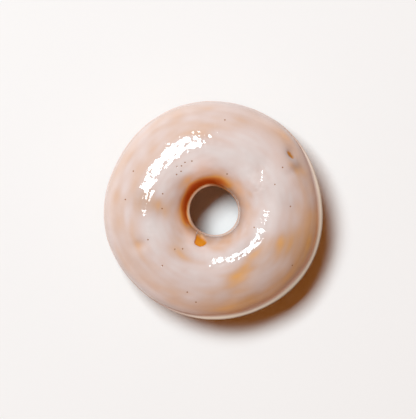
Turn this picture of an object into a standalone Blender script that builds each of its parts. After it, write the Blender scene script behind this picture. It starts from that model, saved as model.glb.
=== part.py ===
"""A glazed ring doughnut: a fried dough ring, and the sugar glaze that coats its upper half.

Metres, +Z up. The ring rests on a flat of its underside at Z 0, and the origin is in the middle of
its hole. Azimuths are in degrees from +X towards +Y. Each of the two solids is a closed
cross-section spun round Z and then warped by the same rule, so that the outline, the crest, the
edge of the glaze and the hollows are as uneven as those of a real ring, and the glaze keeps its
thickness over the dough.
"""

import math

import bmesh
import bpy
import numpy as np

MM = 0.001

# The whole ring
RING_RADIUS = 45.0 * MM  # out to the bead of glaze, the widest place
HOLE_RADIUS = 10.1 * MM  # in to the bead of glaze inside the hole
RING_HEIGHT = 33.0 * MM
CREST_RADIUS = 24.7 * MM  # the highest circle lies nearer the hole than the rim

# The glaze: its outer face, and the bead that each of its two edges ends in
OUTER_BEAD_LEVEL = 15.0 * MM
INNER_BEAD_LEVEL = 14.5 * MM
OUTER_BEAD_REACH = 1.1 * MM  # how far a bead stands proud of the face above it
INNER_BEAD_REACH = 1.4 * MM
BEAD_WIDTH = 0.75  # half width of a bead's oval, as a share of its reach
BEAD_HEIGHT = 1.05  # and its half height
BEAD_ARC = (-115, 62)  # the stretch of the oval that shows, in degrees from the level direction
BEAD_FILLET = 1.2 * MM  # height in which a bead runs out into the face
SHOULDER_LEVEL = 20.0 * MM  # above this the wall of the hole rounds over to the crest
OUTER_POWERS = (1.6, 3.0)  # superellipse of a gentle slope, then a steep side
INNER_POWERS = (2.0, 2.0)  # ellipse
GLAZE_THICKNESS = 0.7 * MM
CLEARANCE = 0.3 * MM  # between the glaze and the dough under it

# The underside of the dough
REST_INNER_RADIUS = 21.5 * MM
REST_OUTER_RADIUS = 32.5 * MM
UNDERSIDE_POWERS = (2.1, 2.1)

# Unevenness: waves round the ring, their height, and the azimuth of one of their tops
OUTLINE_WAVES = ((2, 0.14 * MM, -43), (3, 0.33 * MM, -40), (5, 0.24 * MM, -28))
HOLE_WAVES = ((2, 0.20 * MM, -49), (3, 0.10 * MM, 95))
CREST_WAVES = ((2, 0.20 * MM, 70), (3, 0.15 * MM, 200))
EDGE_WAVES = ((3, 0.35 * MM, 10), (7, 0.20 * MM, 40))

# Hollows in the top: azimuth, radius, half length round the ring, half width, depth
HOLLOWS = (
    (36.5, 39.2 * MM, 2.6 * MM, 1.8 * MM, 0.8 * MM),  # crease near the rim
    (26.0, 37.4 * MM, 2.2 * MM, 3.4 * MM, 0.5 * MM),  # shallow hollow beside it
    (205.0, 33.0 * MM, 2.4 * MM, 3.0 * MM, 0.7 * MM),  # soft hollow across the ring
    (248.0, 14.4 * MM, 2.6 * MM, 2.4 * MM, 0.9 * MM),  # bare notch beside the hole
    (186.0, 22.3 * MM, 4.0 * MM, 3.0 * MM, 0.3 * MM),
    (296.0, 27.5 * MM, 5.0 * MM, 2.8 * MM, 0.3 * MM),
)

# Facets
STEPS = 80  # round the ring, the same for both solids so that their facets face each other
FACE_POINTS = 19
BACK_POINTS = 13
BEAD_POINTS = 6
SIDE_POINTS = 8
CURVE_SAMPLES = 400
SHARP_ANGLE = math.radians(50)

CORE_RADIUS = (REST_INNER_RADIUS + REST_OUTER_RADIUS) / 2
CORE_LEVEL = RING_HEIGHT / 2


def evenly_spaced(curve, count):
    """count points spread along a curve by equal lengths, both ends kept."""
    steps = np.hypot(*np.diff(curve, axis=0).T)
    length = np.concatenate([[0.0], np.cumsum(steps)])
    wanted = np.linspace(0.0, length[-1], count)
    return np.stack([np.interp(wanted, length, curve[:, k]) for k in (0, 1)], axis=1)


def quarter(centre, reach, rise, powers):
    """A quarter of a superellipse, from its side at centre + reach to its top at centre + rise."""
    t = np.linspace(0.0, math.pi / 2, CURVE_SAMPLES)
    across = np.abs(np.cos(t)) ** (2 / powers[0])
    up = np.abs(np.sin(t)) ** (2 / powers[1])
    return np.stack([centre[0] + reach * across, centre[1] + rise * up], axis=1)


def face_curve():
    """The outer face of the glaze without its beads, as (radius, height): from the rim over the
    crest and down the wall of the hole."""
    rim = RING_RADIUS - OUTER_BEAD_REACH
    wall = HOLE_RADIUS + INNER_BEAD_REACH
    outer = quarter(
        (CREST_RADIUS, OUTER_BEAD_LEVEL),
        rim - CREST_RADIUS,
        RING_HEIGHT - OUTER_BEAD_LEVEL,
        OUTER_POWERS,
    )
    inner = quarter(
        (CREST_RADIUS, SHOULDER_LEVEL),
        wall - CREST_RADIUS,
        RING_HEIGHT - SHOULDER_LEVEL,
        INNER_POWERS,
    )[::-1]
    foot = np.array([[wall, INNER_BEAD_LEVEL]])
    return evenly_spaced(np.concatenate([outer, inner[1:], foot]), CURVE_SAMPLES)


def beneath_face(depth):
    """The face moved inwards by depth, as points that lie under one another at every depth."""
    face = face_curve()
    along = np.gradient(face, axis=0)
    along /= np.hypot(*along.T)[:, None]
    inwards = np.stack([-along[:, 1], along[:, 0]], axis=1)
    picked = np.linspace(0, CURVE_SAMPLES - 1, BACK_POINTS).astype(int)
    return (face + depth * inwards)[picked]


def bead(face_radius, level, reach, side):
    """The oval arc of a bead, from its underside up to the face. side is 1 on the rim and -1 in
    the hole."""
    half_width = reach * BEAD_WIDTH
    turn = np.radians(np.linspace(*BEAD_ARC, BEAD_POINTS))
    across = face_radius + side * (reach - half_width + half_width * np.cos(turn))
    return np.stack([across, level + reach * BEAD_HEIGHT * np.sin(turn)], axis=1)


def glaze_section():
    """The closed cross-section of the glaze: rim bead, face, hole bead, back."""
    face = face_curve()
    rim_bead = bead(face[0, 0], OUTER_BEAD_LEVEL, OUTER_BEAD_REACH, 1)
    hole_bead = bead(face[-1, 0], INNER_BEAD_LEVEL, INNER_BEAD_REACH, -1)
    on_rim_side = face[:, 0] > CREST_RADIUS
    lowest = np.where(on_rim_side, rim_bead[-1, 1], hole_bead[-1, 1]) + BEAD_FILLET
    bare_face = evenly_spaced(face[face[:, 1] > lowest], FACE_POINTS)
    back = beneath_face(GLAZE_THICKNESS)
    return np.concatenate([rim_bead, bare_face, hole_bead[::-1], back[::-1]])


def dough_section():
    """The closed cross-section of the dough: rim side, top, hole side, flat underside."""
    top = beneath_face(GLAZE_THICKNESS + CLEARANCE)
    rim, rim_level = top[0]
    wall, wall_level = top[-1]
    rim_side = quarter(
        (REST_OUTER_RADIUS, rim_level), rim - REST_OUTER_RADIUS, -rim_level, UNDERSIDE_POWERS
    )
    hole_side = quarter(
        (REST_INNER_RADIUS, wall_level), wall - REST_INNER_RADIUS, -wall_level, UNDERSIDE_POWERS
    )
    rim_side = evenly_spaced(rim_side[::-1], SIDE_POINTS + 1)[:-1]
    hole_side = evenly_spaced(hole_side, SIDE_POINTS + 1)[1:]
    underside_middle = np.array([[CORE_RADIUS, 0.0]])
    return np.concatenate([rim_side, top, hole_side, underside_middle])


def smooth_step(value, low, high):
    """0 up to low, 1 from high on, and a smooth rise between them."""
    t = min(max((value - low) / (high - low), 0.0), 1.0)
    return t * t * (3 - 2 * t)


def waves(azimuth, table):
    return sum(size * math.cos(count * (azimuth - math.radians(top))) for count, size, top in table)


def hollow_depth(azimuth, radius):
    """How deep the hollows are at a place seen from above. Each one is a bell curve."""
    depth = 0.0
    for middle, at, half_length, half_width, deepest in HOLLOWS:
        turn = math.remainder(azimuth - math.radians(middle), math.tau)
        spread = (at * turn / half_length) ** 2 + ((radius - at) / half_width) ** 2
        depth += deepest * math.exp(-spread)
    return depth


def warp(mesh):
    """Moves every vertex of a spun ring to where the uneven ring has it."""
    for vertex in mesh.verts:
        x, y, level = vertex.co
        azimuth = math.atan2(y, x)
        radius = math.hypot(x, y)
        outward = smooth_step(radius, HOLE_RADIUS, RING_RADIUS)
        upper = smooth_step(level, OUTER_BEAD_LEVEL, RING_HEIGHT)
        waist = smooth_step(level, OUTER_BEAD_LEVEL / 3, OUTER_BEAD_LEVEL) * (1 - upper)
        sunk = hollow_depth(azimuth, radius) * smooth_step(level, OUTER_BEAD_LEVEL, SHOULDER_LEVEL)
        from_core = math.hypot(radius - CORE_RADIUS, level - CORE_LEVEL)
        uneven_radius = (
            radius
            + outward * waves(azimuth, OUTLINE_WAVES)
            + (1 - outward) * waves(azimuth, HOLE_WAVES)
            - sunk * (radius - CORE_RADIUS) / from_core
        )
        level += (
            upper * waves(azimuth, CREST_WAVES)
            + waist * waves(azimuth, EDGE_WAVES)
            - sunk * (level - CORE_LEVEL) / from_core
        )
        vertex.co = (uneven_radius * math.cos(azimuth), uneven_radius * math.sin(azimuth), level)


def outline_middle():
    """The middle of the uneven outline's extents in X and Y."""
    azimuths = [math.tau * k / STEPS for k in range(STEPS)]
    reach = [RING_RADIUS + waves(azimuth, OUTLINE_WAVES) for azimuth in azimuths]
    xs = [radius * math.cos(azimuth) for radius, azimuth in zip(reach, azimuths)]
    ys = [radius * math.sin(azimuth) for radius, azimuth in zip(reach, azimuths)]
    return (min(xs) + max(xs)) / 2, (min(ys) + max(ys)) / 2


def food_material(name, colour, roughness):
    material = bpy.data.materials.new(name)
    material.use_nodes = True
    shader = material.node_tree.nodes["Principled BSDF"]
    shader.inputs["Base Color"].default_value = (*colour, 1.0)
    shader.inputs["Roughness"].default_value = roughness
    shader.inputs["Metallic"].default_value = 0.0
    return material


def spun_ring(name, section, material):
    """The solid that a closed cross-section makes when it is spun round Z and warped."""
    mesh = bmesh.new()
    corners = [mesh.verts.new((radius, 0.0, level)) for radius, level in section]
    sides = [mesh.edges.new(pair) for pair in zip(corners, corners[1:] + corners[:1])]
    bmesh.ops.spin(
        mesh, geom=corners + sides, cent=(0, 0, 0), axis=(0, 0, 1), steps=STEPS, angle=math.tau
    )
    bmesh.ops.remove_doubles(mesh, verts=mesh.verts, dist=0.01 * MM)
    warp(mesh)
    middle_x, middle_y = outline_middle()
    bmesh.ops.translate(mesh, verts=mesh.verts, vec=(-middle_x, -middle_y, 0.0))
    bmesh.ops.recalc_face_normals(mesh, faces=mesh.faces)
    data = bpy.data.meshes.new(name)
    mesh.to_mesh(data)
    mesh.free()
    data.materials.append(material)
    data.shade_smooth()
    data.set_sharp_from_angle(angle=SHARP_ANGLE)
    ring = bpy.data.objects.new(name, data)
    bpy.context.scene.collection.objects.link(ring)


def make_dough():
    crust = food_material("fried_crust", (0.51, 0.24, 0.08), 0.62)
    spun_ring("dough_ring", dough_section(), crust)


def make_glaze():
    sugar = food_material("sugar_glaze", (0.75, 0.58, 0.50), 0.12)
    spun_ring("glaze", glaze_section(), sugar)


def main():
    for leftover in list(bpy.data.objects):
        bpy.data.objects.remove(leftover, do_unlink=True)
    make_dough()
    make_glaze()


main()
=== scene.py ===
"""The looks of a glazed ring doughnut, on a pale floor and seen from straight above.

The sugar glaze and the fried crust are surfaces worked out on grids, round the ring and along its
cross-section. Lengths are metres, and millimetres in the tables that say so. Azimuths are degrees
from +X towards +Y. A place on the ring is its azimuth and its distance from the middle of the
hole, or its x and y from there.
"""

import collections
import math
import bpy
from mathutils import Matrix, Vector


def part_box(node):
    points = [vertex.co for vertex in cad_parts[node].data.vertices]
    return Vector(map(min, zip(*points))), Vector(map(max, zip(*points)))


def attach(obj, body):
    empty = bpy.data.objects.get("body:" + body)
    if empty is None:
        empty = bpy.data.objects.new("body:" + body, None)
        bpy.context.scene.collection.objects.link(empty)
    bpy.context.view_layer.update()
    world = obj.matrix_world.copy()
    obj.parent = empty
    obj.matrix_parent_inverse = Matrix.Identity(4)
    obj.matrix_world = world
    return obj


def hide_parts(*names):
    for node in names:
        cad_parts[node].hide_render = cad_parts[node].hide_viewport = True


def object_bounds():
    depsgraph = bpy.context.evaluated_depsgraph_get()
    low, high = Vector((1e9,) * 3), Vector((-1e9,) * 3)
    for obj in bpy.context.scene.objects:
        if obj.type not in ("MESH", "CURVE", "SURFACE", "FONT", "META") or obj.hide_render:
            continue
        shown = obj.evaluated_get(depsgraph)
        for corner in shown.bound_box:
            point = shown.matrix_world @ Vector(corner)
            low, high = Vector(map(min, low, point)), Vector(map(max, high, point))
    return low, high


bl_info = {
    "name": "Glazed Ring Doughnut",
    "version": (1, 0, 0),
    "blender": (4, 5, 0),
    "location": "3D View > Sidebar > Doughnut",
    "description": "Models and finishes a glazed ring doughnut with its floor, light and camera",
    "category": "Add Mesh",
}

import bpy
import numpy as np

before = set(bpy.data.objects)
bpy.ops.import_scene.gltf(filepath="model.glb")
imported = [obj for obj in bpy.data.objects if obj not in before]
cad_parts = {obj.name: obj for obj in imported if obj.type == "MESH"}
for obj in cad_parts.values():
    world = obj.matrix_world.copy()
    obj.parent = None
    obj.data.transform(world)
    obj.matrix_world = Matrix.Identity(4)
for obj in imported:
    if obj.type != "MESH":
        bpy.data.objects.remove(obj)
CAD_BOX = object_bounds()

MM = 0.001

# The ring's driving sizes. The outline's reach and the height come from the frame.
RING_RADIUS = round(CAD_BOX[1].x, 4)
CREST_WAVE_TOP = 0.318 * MM  # how far the solid's highest point is above the mean crest
RING_HEIGHT = CAD_BOX[1].z - CREST_WAVE_TOP
HOLE_RADIUS = 10.0 * MM
CREST_RADIUS = 24.7 * MM
OUTER_BEAD_LEVEL = 15.0 * MM
INNER_BEAD_LEVEL = 14.5 * MM
OUTER_BEAD_REACH = 1.1 * MM  # how far a level bead stands proud of the face above it
INNER_BEAD_REACH = 1.4 * MM
BEAD_WIDTH = 0.75  # the most that a bead's half width is, as a share of its reach
BEAD_ARC = (-115, 90)  # from a bead's underside to its top, in degrees from level
BEAD_POWER = 2.6
SKIRT_BULGE = 1.2 * MM

# How a bead of the glaze grows round the ring: side is 1 on the rim and -1 in the hole, level is
# where the least bead lies and lift is how much higher the greatest one does, least and greatest
# are how far they reach out of the face, half_width (at most) and half_height are its oval's, rise
# is how high the fillet above it is, middle is the azimuth of the greatest, and start and full are
# the cosines of the turn away from it between which it grows
Bead = collections.namedtuple(
    "Bead", "side level lift least greatest half_width half_height rise middle start full"
)
RIM_BEAD = Bead(
    side=1,
    level=OUTER_BEAD_LEVEL,
    lift=6.0 * MM,
    least=0.4 * MM,
    greatest=1.3 * MM,
    half_width=1.0 * MM,
    half_height=1.15 * MM,
    rise=1.4 * MM,
    middle=-38,
    start=0.0,
    full=0.75,
)
HOLE_BEAD = Bead(
    side=-1,
    level=INNER_BEAD_LEVEL,
    lift=5.8 * MM,
    least=0.4 * MM,
    greatest=1.5 * MM,
    half_width=0.75 * MM,
    half_height=1.2 * MM,
    rise=0.4 * MM,
    middle=155,
    start=-0.1,
    full=0.75,
)
LIP_SHARE = 0.89  # how far the rim's bead grows on average, where it is greatest
BEAD_BLEND = 5.0 * MM  # from the crest to where one bead's growth no longer counts

# Where a lip ends, and where the gloss beside it comes in, as shares of its bead's points
RIM_LIP_ENDS = (0.55, 0.9)
HOLE_LIP_ENDS = (0.7, 0.95)
EDGE_ENDS = (1.0, 1.4)

# The rest of the section
SHOULDER_LEVEL = 20.0 * MM
OUTER_POWERS = (1.5, 3.0)
INNER_POWERS = (2.2, 2.0)
GLAZE_THICKNESS = 0.7 * MM
CLEARANCE = 0.3 * MM
REST_INNER_RADIUS = 21.5 * MM
REST_OUTER_RADIUS = 32.5 * MM
UNDERSIDE_POWERS = (2.1, 2.1)
CORE_RADIUS = (REST_INNER_RADIUS + REST_OUTER_RADIUS) / 2
CORE_LEVEL = RING_HEIGHT / 2

# Unevenness: waves round the ring, their height, and the azimuth of one of their tops
OUTLINE_WAVES = ((2, 0.14 * MM, -43), (3, 0.33 * MM, -40), (5, 0.24 * MM, -28))
HOLE_WAVES = ((1, 0.30 * MM, -52), (2, 0.20 * MM, -49), (3, 0.10 * MM, 95))
CREST_WAVES = ((2, 0.20 * MM, 70), (3, 0.15 * MM, 200))
EDGE_WAVES = ((3, 0.35 * MM, 10), (7, 0.20 * MM, 40))
LIP_WAVES = ((5, 0.06, 20), (9, 0.05, 75))

# Hollows in the top: azimuth, and in millimetres the radius, the half length round the ring, the
# half width and the depth
HOLLOWS = (
    (36.5, 39.2, 2.6, 1.8, 0.8),
    (26.0, 37.4, 2.2, 3.4, 0.5),
    (205.0, 33.0, 2.4, 3.0, 0.7),
    (248.0, 14.4, 2.6, 2.4, 0.9),
    (186.0, 22.3, 4.0, 3.0, 0.3),
    (296.0, 27.5, 5.0, 2.8, 0.3),
)

# Where the glaze looks thinner (below 0) or thicker (above 0) than its neighbourhood: azimuth, in
# millimetres the radius, the half length round the ring and the half width, and the change. The
# browner ones in the hollows, from 22.5 to 30.3 degrees and at 204.5 degrees, are painted shade,
# and the paler band at 308 degrees by the rim takes part of the lower right's painted shade off
GLAZE_PATCHES_AND_SHADE = (
    (40, 29.8, 20.0, 6.3, 0.26),
    (312, 28.8, 17.0, 5.0, -0.24),
    (174, 23.4, 3.4, 2.8, -0.50),
    (169, 27.4, 5.0, 3.4, -0.35),
    (183, 19.5, 4.0, 2.5, -0.25),
    (205, 18.1, 7.0, 2.5, -0.15),
    (198, 26.6, 5.0, 4.0, 0.24),
    (204.5, 33.0, 2.0, 2.4, -0.34),
    (226, 21.2, 5.5, 2.8, -0.40),
    (238, 22.8, 6.5, 2.2, -0.38),
    (262, 30.4, 6.0, 4.0, 0.12),
    (275, 40.0, 6.0, 2.2, 0.17),
    (308, 42.9, 36.0, 1.3, 0.32),
    (262, 40.5, 25.0, 3.5, -0.17),
    (286, 27.4, 4.0, 2.4, -0.36),
    (291, 29.2, 4.8, 2.0, -0.30),
    (300, 25.4, 5.0, 1.8, -0.42),
    (316, 23.7, 5.0, 1.5, -0.48),
    (335, 28.6, 4.6, 2.6, -0.46),
    (174, 29.5, 6.0, 3.0, -0.14),
    (304, 22.2, 5.0, 1.8, -0.26),
    (286, 32.0, 5.0, 2.6, -0.14),
    (240, 16.2, 3.0, 2.2, 0.16),
    (345, 36.2, 4.0, 2.8, -0.20),
    (308, 32.3, 6.0, 2.4, 0.15),
    (97, 31.1, 4.5, 2.2, -0.20),
    (93, 41.2, 2.6, 1.2, -0.25),
    (131.6, 16.9, 2.2, 1.6, -0.45),
    (24, 16.5, 1.6, 1.0, -0.25),
    (30.3, 36.4, 1.6, 1.2, -0.30),
    (26.0, 38.0, 2.6, 1.6, -0.42),
    (22.5, 40.3, 3.0, 2.0, -0.24),
    (242, 42.0, 7.0, 3.0, -0.10),
    (31.5, 39.4, 2.2, 1.2, 0.25),
    (46, 41.4, 8.0, 2.8, -0.36),
    (14, 37.4, 7.0, 2.7, -0.14),
    (150, 36.0, 5.0, 3.0, -0.15),
    (138, 40.2, 6.0, 2.6, 0.15),
    (240, 11.8, 2.6, 1.5, -0.50),
    (299, 27.2, 3.4, 1.8, -0.35),
    (336, 34.0, 7.0, 5.0, -0.36),
    (285, 35.5, 5.5, 3.5, -0.20),
    (293, 37.2, 5.0, 3.0, -0.13),
    (0, 37.5, 5.0, 3.0, -0.17),
    (15, 40.0, 6.0, 2.5, -0.15),
    (35, 13.5, 5.0, 3.0, -0.25),
    (90, 15.8, 6.0, 2.2, -0.35),
    (133, 15.5, 4.5, 2.5, -0.32),
    (168, 19.0, 4.0, 3.5, -0.22),
    (181, 21.0, 4.0, 4.5, -0.25),
    (206, 18.5, 5.0, 2.5, -0.15),
    (240, 21.5, 9.0, 3.0, -0.12),
    (315, 25.0, 14.0, 3.0, -0.15),
    (128, 12.8, 6.0, 1.6, -0.30),
    (255, 12.8, 2.5, 1.6, -0.35),
)

# Painted light (above 0) and painted shade (below 0): how much brighter or darker than its
# neighbourhood the glaze's colour is drawn, as above
PAINTED_LIGHT_PATCHES = (
    (115, 15.0, 12.0, 2.5, 0.22),
    (205, 14.0, 12.0, 2.5, 0.26),
    (45, 14.0, 6.0, 2.5, 0.15),
    (172, 26.0, 6.0, 5.0, -0.10),
    (205, 22.0, 13.0, 7.0, -0.07),
    (318, 31.0, 20.0, 9.0, -0.07),
    (105, 19.0, 6.0, 3.5, 0.08),
    (262, 40.0, 28.0, 4.0, 0.08),
    (27, 38.4, 3.8, 2.2, -0.16),
    (48, 42.5, 7.0, 1.5, 0.10),
    (262, 42.9, 9.0, 1.5, 0.15),
    (80, 26.0, 12.0, 4.0, -0.04),
    (337, 34.0, 8.0, 5.0, -0.09),
    (336, 40.8, 16.0, 2.8, -0.17),
    (322, 42.9, 34.0, 1.0, 0.40),
    (150, 43.5, 70.0, 2.5, 0.09),
    (222, 42.0, 10.0, 3.0, 0.05),
    (35.8, 38.8, 2.0, 1.4, -0.40),
    (290, 39.5, 6.0, 3.0, -0.08),
    (172, 30.0, 6.0, 4.0, -0.09),
    (125, 15.2, 6.0, 1.8, 0.12),
    (240, 16.2, 3.5, 2.2, 0.12),
    (110, 17.5, 6.0, 4.0, 0.20),
    (310, 19.6, 7.0, 3.5, -0.15),
    (30, 39.5, 3.0, 2.0, -0.10),
    (240, 41.5, 8.0, 2.5, 0.06),
    (60, 41.0, 5.0, 3.0, 0.06),
    (8, 30.0, 4.0, 4.0, -0.07),
    (255, 12.8, 2.5, 1.6, -0.25),
)

# The same painted light and shade for the lips alone: a thin darker line of painted shade in the
# rim's lip, and painted shade on the lips at the lower right and in the hole
LIP_PAINTED_LIGHT_PATCHES = (
    (198, 10.8, 7.0, 4.0, -0.22),
    (322, 44.0, 40.0, 8.0, -0.32),
    (0, 44.55, 30.0, 0.22, -0.22),
)

# Where the lips are thinner or thicker than the rest of them
LIP_DEPTH_PATCHES = ((52, 10.4, 5.0, 4.0, -0.45),)

# Zones where the glaze dried in livelier wrinkles: as above, with how lively they are
LIVELY_ZONES = (
    (34, 21.8, 4.5, 2.6, 1.0),
    (97, 30.3, 3.0, 2.0, 0.9),
    (88, 32.3, 1.6, 2.0, 0.9),
    (113, 28.5, 5.0, 3.5, 0.5),
    (138, 28.5, 16.0, 4.5, 0.38),
    (266, 22.3, 1.5, 1.5, 0.8),
    (310, 20.9, 17.0, 2.2, 0.40),
    (348, 20.9, 4.0, 2.0, 0.4),
    (196, 28.0, 3.0, 3.0, 0.3),
)

# Faint dips (above 0) and rises that only the mirrored light shows: as above, but how deep they are
# in millimetres
FAINT_DIPS = (
    (41.5, 26.0, 5.0, 5.5, 0.85),
    (36, 19.3, 6.0, 4.0, -0.40),
    (256, 21.3, 7.0, 4.0, 0.42),
    (10, 21.5, 5.0, 3.5, 0.25),
)

# Fine wrinkles across the mirrored light, in millimetres: the x and y of both ends, and the height
WRINKLES = (
    ((11.2, -15.5), (12.4, -18.0), -0.035),
    ((20.4, -1.0), (22.6, -1.6), -0.030),
    ((8.3, -20.5), (9.2, -22.6), -0.015),
    ((-7.6, 29.9), (-5.0, 28.4), 0.040),
    ((-5.6, 29.6), (-3.4, 27.8), 0.040),
)
WRINKLE_HALF_WIDTH = 0.35 * MM

# A curled wrinkle that stands higher on the left of its way: the x and y of its corners, in
# millimetres
CURL = ((19.75, 16.0), (19.35, 13.2), (19.67, 10.4), (19.15, 8.4), (17.75, 7.4), (16.7, 7.2))
CURL_HEIGHT = 0.095 * MM
CURL_HALF_WIDTH = 0.35 * MM
CURL_FALL = 3.0 * MM
CURL_END = 0.7 * MM

# Pinholes in the glaze, where bubbles burst: azimuth, and radius in millimetres
PINHOLES = (
    (130, 23.0), (126, 22.1), (121, 22.5), (114, 21.7), (136, 20.8), (130, 20.5),
    (162, 21.6), (178, 20.8), (154, 36.2), (173, 36.0), (204, 29.0), (227, 30.4),
    (252, 34.7), (259, 37.8), (325, 38.8), (3, 30.9), (23, 26.7), (32, 32.7),
    (337, 17.6), (83, 36.8), (70, 15.6), (225, 22.1), (231, 19.9),
)
PINHOLE_CORE = 0.15 * MM  # out to where a pinhole is at its darkest
PINHOLE_DIMPLE = -2.0  # its height against that of the finest ripples

# The bare notch beside the hole: an oval, and a neck that runs from the hole's edge to it and
# widens on its way. The neck's ends are in millimetres.
NOTCH_MIDDLE = (-5.25 * MM, -12.6 * MM)
NOTCH_HALF_SIZE = (2.35 * MM, 1.2 * MM)
NOTCH_NECK = ((-6.1, -9.6), (-5.5, -12.0))
NOTCH_NECK_HALF_WIDTHS = (1.0 * MM, 1.7 * MM)
NOTCH_MERGE = 0.8 * MM  # how alike the distances to both are where they round into each other
NOTCH_EDGE = (-0.12 * MM, 0.18 * MM)  # from bare dough to glaze, across the notch's edge
NOTCH_SLOPE = (-0.35 * MM, 0.3 * MM)  # from the notch's floor to the glaze's face
NOTCH_DEPTH = 0.45 * MM
NOTCH_NEAREST = (11.0 * MM, 12.2 * MM)  # radii between which the bare dough starts to show

# The slit beside the rim where the glaze creased open: middle, half length, half width, azimuth of
# its length, and its edge and its slope as for the notch
SLIT = ((31.5 * MM, 22.9 * MM), 2.1 * MM, 0.85 * MM, -50)
SLIT_EDGE = (-0.3 * MM, 0.15 * MM)
SLIT_SLOPE = (-0.4 * MM, 0.4 * MM)
SLIT_DEPTH = 0.3 * MM

# The glaze's swells, and the last of them drawn out round the ring: the height everywhere, what the
# liveliest zones add to it, the wavelength, all in millimetres, and the seed
GLAZE_SWELLS = (
    (0.045, 0.0, 12.0, 11),
    (0.014, 0.0, 4.2, 12),
    (0.004, 0.045, 2.8, 13),
    (0.002, 0.022, 1.4, 14),
)
GLAZE_FLOW = (0.002, 0.040, 2.0, 15)

# Sides of the ring: the azimuth in the middle of each, and the cosines of the turn away from it
# between which it comes in
# Shaded side of the hole's wall: the browner glaze there is partly thin glaze, partly painted shade
SHADED_WALL_SIDE = (138, -0.1, 0.6)
DULL_WALL_SIDE = (140, -0.2, 0.55)
# The lower right flank faces away from the key light; the glaze is drawn browner there as painted
# shade
LOWER_RIGHT_SIDE = (315, 0.45, 0.9)

# How thick the glaze looks from its wall in the hole outwards: the change, and the radii in
# millimetres between which it comes in, round the whole ring or on one side of it. The steps on one
# side are painted shade: all of it on the lower right flank, and on the shaded side of the hole's
# wall partly thin glaze and partly painted shade
WALL_DEPTH = 0.52
DEPTH_STEPS = ((0.48, 12.0, 20.5), (-0.32, 23.5, 33.5))
SIDED_DEPTH_AND_SHADE_STEPS = ((-1.4, 15.6, 11.3, SHADED_WALL_SIDE), (-0.6, 35.0, 41.0, LOWER_RIGHT_SIDE))

# Streaks and clouds in how thick the glaze looks: height, wavelength in millimetres, seed
DEPTH_STREAKS = ((0.06, 6.0, 21), (0.04, 2.5, 22))
DEPTH_CLOUDS = ((0.04, 9.0, 23),)

# How thick the lips look on the rim and in the hole, and how much less on the shaded wall of the
# hole, which is partly painted shade
RIM_LIP_DEPTH = 0.8
HOLE_LIP_DEPTH = 0.5
SHADED_WALL_LIP_CHANGE = -0.2

# Painted light: the glaze's colour is drawn a little brighter towards this azimuth, but for the
# hole
PAINTED_LIGHT_TILT = 0.015
PAINTED_LIGHT_TILT_AZIMUTH = 95
PAINTED_LIGHT_TILT_RADII = (14.0 * MM, 20.0 * MM)

# How strong the finest ripples and the gloss are, the radii between which the wall of the hole gets
# dull, and how strongly the lips' own colour shows there
RIPPLE_SHARE = 0.35
GLOSS = 0.5
DULL_WALL_RADII = (15.0 * MM, 12.5 * MM)
HOLE_LIP_COLOUR_SHARE = 0.25

# The glaze's looks from the thinnest that it seems to the thickest. The reddest stops are reached
# on the shaded side of the hole's wall, where they are partly thin glaze and partly painted shade
DEPTH_RANGE = (-1.0, 1.3)
GLAZE_COLOURS = (
    (0.04, (0.73, 0.16, 0.025)),
    (0.26, (0.80, 0.28, 0.06)),
    (0.39, (0.82, 0.42, 0.12)),
    (0.48, (0.72, 0.42, 0.22)),
    (0.59, (0.66, 0.44, 0.32)),
    (0.70, (0.66, 0.50, 0.43)),
    (0.78, (0.68, 0.55, 0.51)),
    (0.87, (0.70, 0.605, 0.58)),
    (1.00, (0.72, 0.655, 0.64)),
)

# The crust's skin between the flat and the glaze: the levels between which it comes in and ends,
# its swells and creases by height and wavelength in millimetres and seed, and how deep it lies
SKIN_STARTS = (0.0, 2.5 * MM)
SKIN_ENDS = (16.0 * MM, 14.0 * MM)
SKIN_SWELLS = ((0.16, 11.0, 31),)
SKIN_CREASES = ((0.05, 3.2, 32), (0.03, 1.7, 33))
SKIN_DEPTH = 0.18 * MM

# The browning of the crust: how strong it is on the side, the shares of the bead's level between
# which it comes in, the waves of that border, its clouds, and how much stronger it is in the hole
SIDE_BROWNING = 0.75
BROWNING_ENDS = (0.92, 0.55)
BROWNING_WAVES = ((0.06, 9.0, 41),)
BROWNING_CLOUDS = ((0.10, 10.0, 42), (0.05, 3.0, 43))
HOLE_BROWNING = 0.25

# Grids
AZIMUTH_STEPS = 580
RIM_POINTS = 26
FACE_POINTS = 100
HOLE_POINTS = 22
FRONT_POINTS = RIM_POINTS + FACE_POINTS + HOLE_POINTS - 2
BACK_POINTS = 9
SKIRT_POINTS = 6
DOUGH_STEPS = 420
DOUGH_TOP_POINTS = 14
DOUGH_SIDE_POINTS = 84
DOUGH_REST_POINTS = 18
CURVE_SAMPLES = 800
RELIEF_POINTS = 14  # from each end of the front, over which the relief comes in
DETAIL_RADIUS = 25.5 * MM  # in the middle of the stretch whose points lie closer
DETAIL_HALF_WIDTH = 8.0 * MM


def evenly_spaced(curve, count, density=1.0):
    """count points spread along a curve by equal lengths, both ends kept. A density per point
    draws them together where it is high."""
    steps = np.hypot(*np.diff(curve, axis=0).T)
    steps = steps * np.broadcast_to(density, len(curve))[1:]
    gone = np.concatenate([[0.0], np.cumsum(steps)])
    wanted = np.linspace(0.0, gone[-1], count)
    return np.stack([np.interp(wanted, gone, curve[:, k]) for k in (0, 1)], axis=1)


def quarter(centre, reach, rise, powers):
    """A quarter of a superellipse: reach times cosine to the power 2/p across, and rise times sine
    to the power 2/q up, from the side to the top."""
    t = np.linspace(0.0, math.pi / 2, CURVE_SAMPLES)
    across = np.abs(np.cos(t)) ** (2 / powers[0])
    up = np.abs(np.sin(t)) ** (2 / powers[1])
    return np.stack([centre[0] + reach * across, centre[1] + rise * up], axis=1)


def outwards(curve):
    """The unit normals on the left of a curve's way, turned to face out of the ring."""
    along = np.gradient(curve, axis=0)
    along /= np.hypot(*along.T)[:, None]
    return np.stack([along[:, 1], -along[:, 0]], axis=1)


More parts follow.
